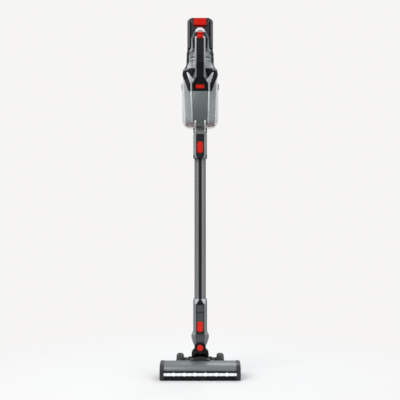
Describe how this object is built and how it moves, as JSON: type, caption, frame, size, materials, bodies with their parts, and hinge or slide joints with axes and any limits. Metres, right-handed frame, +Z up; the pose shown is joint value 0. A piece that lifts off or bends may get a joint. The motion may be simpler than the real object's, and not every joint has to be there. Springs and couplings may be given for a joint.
{
  "type": "cordless stick vacuum",
  "caption": "Grey and black cordless stick vacuum with red buttons, a clear dust bin, a top handle and a lit brush head.",
  "frame": {"origin": "on the floor, at the middle of the footprint (width and depth of the whole vacuum)", "axes": "+Z up along the wand, the lamps and the handle face -Y, +X to the right of someone facing the lamps"},
  "size_m": [0.247, 0.174, 1.1155],
  "materials": {
    "black_plastic": "satin",
    "dark_plastic": "satin",
    "charcoal_plastic": "gloss",
    "mid_grey_plastic": "satin",
    "light_grey_plastic": "satin",
    "panel_grey": "satin",
    "silver_plastic": "metallic paint",
    "silver_trim": "bright metallic paint",
    "grey_gloss": "gloss",
    "red_plastic": "gloss",
    "tube_metal": "satin grey coat",
    "clear_shell": "clear",
    "seal_rubber": "matte",
    "lamp_lens": "clear",
    "lamp_board": "matte",
    "felt": "brushed",
    "bristle": "matte",
    "steel": "plain",
    "belt_rubber": "matte",
    "tyre_rubber": "matte",
    "grip_rubber": "soft touch",
    "filter_paper": "matte",
    "contact_brass": "bright",
    "battery_black": "satin",
    "battery_grey": "satin",
    "cell_wrap": "gloss"
  },
  "bodies": {
    "floor_head": {"head_base": "black_plastic", "head_cover": "grey_gloss", "centre_bridge": "dark_plastic", "end_cap_left": "dark_plastic", "end_cap_right": "dark_plastic", "front_bumper": "black_plastic", "led_lens": "lamp_lens", "led_board": "lamp_board", "sole_felt": "felt", "sole_screws": "steel", "brush_bearings": "steel", "brush_motor": "steel", "drive_belt": "belt_rubber", "axles_and_pins": "steel"},
    "brush_roller": {"brush_core": "red_plastic", "brush_bristles": "bristle"},
    "motor_shaft": {"motor_pulley": "steel"},
    "brush_release": {"brush_latch": "red_plastic"},
    "wheel_left": {"wheel_hub_left": "dark_plastic", "wheel_tyre_left": "tyre_rubber"},
    "wheel_right": {"wheel_hub_right": "dark_plastic", "wheel_tyre_right": "tyre_rubber"},
    "neck": {"neck_yoke": "black_plastic", "swivel_pins": "steel", "swivel_cap": "red_plastic"},
    "elbow": {"elbow_shell": "mid_grey_plastic", "elbow_panel": "charcoal_plastic", "lower_collar": "mid_grey_plastic", "lower_panel": "charcoal_plastic", "lower_spring": "steel"},
    "lower_release": {"lower_button": "red_plastic"},
    "wand": {"wand_tube": "tube_metal", "wand_stripe": "black_plastic", "upper_collar": "light_grey_plastic", "upper_panel": "black_plastic", "upper_spring": "steel"},
    "upper_release": {"upper_button": "red_plastic"},
    "dust_bin": {"inlet_neck": "mid_grey_plastic", "bin_shell": "clear_shell", "bin_front_panel": "panel_grey", "bin_rails": "silver_trim", "bin_seal": "seal_rubber"},
    "motor_unit": {"shield": "black_plastic", "shield_trim": "silver_trim", "housing_front": "silver_plastic", "housing_rear": "black_plastic", "suction_motor": "steel", "control_board": "lamp_board", "battery_contacts": "contact_brass", "handle_frame": "silver_plastic", "handle_grip": "grip_rubber", "cyclone_cage": "light_grey_plastic", "pleated_filter": "filter_paper"},
    "fan": {"impeller": "light_grey_plastic"},
    "power_trigger": {"trigger": "red_plastic"},
    "bin_release": {"bin_button": "red_plastic"},
    "battery": {"battery_case": "battery_black", "battery_cheeks": "battery_grey", "battery_cells": "cell_wrap"},
    "battery_release": {"battery_latch": "red_plastic"}
  },
  "joints": [
    {"name": "neck_tilt", "type": "hinge", "parent": "floor_head", "child": "neck", "pos_m": [0, 0.027, 0.042], "axis": [-1, 0, 0], "range_deg": [0, 75]},
    {"name": "neck_swivel", "type": "hinge", "parent": "neck", "child": "elbow", "pos_m": [0, 0.01, 0.086], "axis": [0, 1, 0], "range_deg": [-35, 35]},
    {"name": "wand_pull", "type": "slide", "parent": "elbow", "child": "wand", "axis": [0, 0, 1], "range_m": [0, 0.088]},
    {"name": "bin_pull", "type": "slide", "parent": "wand", "child": "dust_bin", "axis": [0, 0, 1], "range_m": [0, 0.05]},
    {"name": "motor_unit_lift", "type": "slide", "parent": "dust_bin", "child": "motor_unit", "axis": [0, 0, 1], "range_m": [0, 0.135]},
    {"name": "battery_pull", "type": "slide", "parent": "motor_unit", "child": "battery", "axis": [0, 0, 1], "range_m": [0, 0.1]},
    {"name": "brush_spin", "type": "hinge", "parent": "floor_head", "child": "brush_roller", "pos_m": [0, -0.048, 0.022], "axis": [1, 0, 0], "continuous": true},
    {"name": "motor_shaft_spin", "type": "hinge", "parent": "floor_head", "child": "motor_shaft", "pos_m": [0.1, -0.008, 0.019], "axis": [1, 0, 0], "continuous": true},
    {"name": "wheel_left_spin", "type": "hinge", "parent": "floor_head", "child": "wheel_left", "pos_m": [-0.064, 0.058, 0.029], "axis": [1, 0, 0], "continuous": true},
    {"name": "wheel_right_spin", "type": "hinge", "parent": "floor_head", "child": "wheel_right", "pos_m": [0.064, 0.058, 0.029], "axis": [1, 0, 0], "continuous": true},
    {"name": "brush_latch_slide", "type": "slide", "parent": "floor_head", "child": "brush_release", "axis": [0, 1, 0], "range_m": [0, 0.004], "stiffness_N_per_m": 800, "springref_m": -0.001},
    {"name": "lower_button_press", "type": "slide", "parent": "elbow", "child": "lower_release", "axis": [0, 1, 0], "range_m": [0, 0.002], "stiffness_N_per_m": 800, "springref_m": -0.001, "deforming": ["lower_spring"]},
    {"name": "upper_button_press", "type": "slide", "parent": "wand", "child": "upper_release", "axis": [0, 1, 0], "range_m": [0, 0.002], "stiffness_N_per_m": 800, "springref_m": -0.001, "deforming": ["upper_spring"]},
    {"name": "fan_spin", "type": "hinge", "parent": "motor_unit", "child": "fan", "pos_m": [0, 0.008, 0.95], "axis": [0, 0, 1], "continuous": true},
    {"name": "trigger_press", "type": "slide", "parent": "motor_unit", "child": "power_trigger", "axis": [0, 1, 0], "range_m": [0, 0.003], "stiffness_N_per_m": 800, "springref_m": -0.001},
    {"name": "bin_button_press", "type": "slide", "parent": "motor_unit", "child": "bin_release", "axis": [0, 1, 0], "range_m": [0, 0.0012], "stiffness_N_per_m": 800, "springref_m": -0.001},
    {"name": "battery_latch_press", "type": "slide", "parent": "battery", "child": "battery_release", "axis": [0, 1, 0], "range_m": [0, 0.0025], "stiffness_N_per_m": 800, "springref_m": -0.001}
  ],
  "couplings": [
    {"joint": "motor_shaft_spin", "follows": "brush_spin", "ratio": 2.2222}
  ]
}
